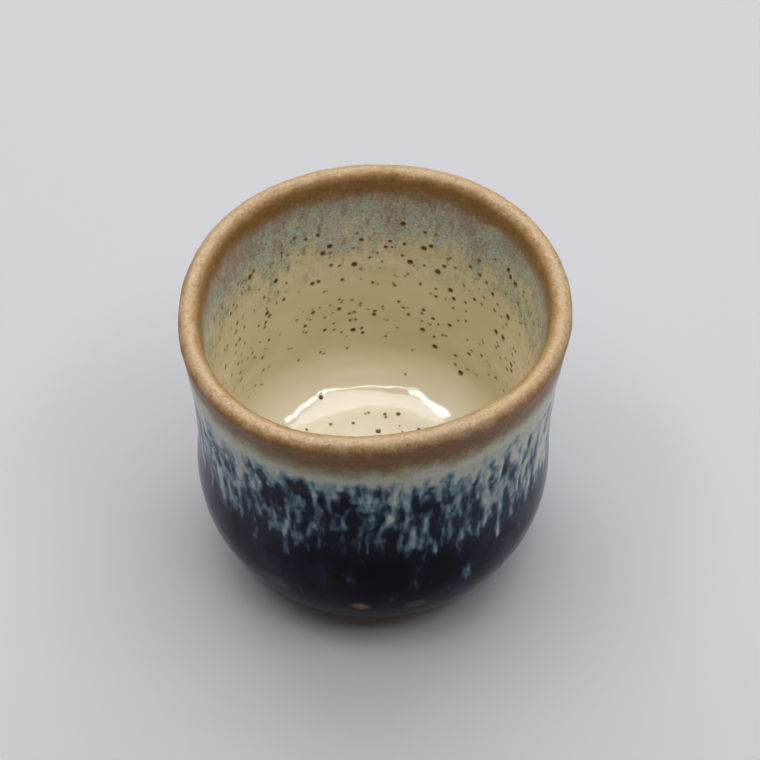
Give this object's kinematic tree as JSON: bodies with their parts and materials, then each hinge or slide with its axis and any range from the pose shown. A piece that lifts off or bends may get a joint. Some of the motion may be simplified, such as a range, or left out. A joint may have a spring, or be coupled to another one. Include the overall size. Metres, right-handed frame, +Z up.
{
  "type": "sake cup",
  "caption": "Small hand-thrown stoneware guinomi sake cup with a rounded lip, a turned foot ring, a cream inside and a dark, streaked glaze outside.",
  "frame": {"origin": "on the table, under the middle of the cup's outline; the middle of the foot ring is half a millimetre from there, at -0.38, -0.36 mm", "axes": "+Z up through the open mouth; +X to the cup's right and -Y towards its front, as the picture shows it"},
  "size_m": [0.064, 0.063, 0.0585],
  "materials": {
    "bare_stoneware": "matte, unglazed, fine grit",
    "liner_glaze": "glossy cream with brown pinholes",
    "base_glaze": "glossy, near-black navy",
    "lip_glaze": "satin, thin, toasted brown",
    "overglaze": "glossy, streaked pale blue"
  },
  "bodies": {
    "root": {"clay_body": "bare_stoneware", "foot_ring": "bare_stoneware", "liner_glaze": "liner_glaze", "base_glaze": "base_glaze", "lip_glaze": "lip_glaze", "outer_overglaze": "overglaze", "inner_overglaze": "overglaze", "glaze_runs": "overglaze"}
  },
  "joints": []
}
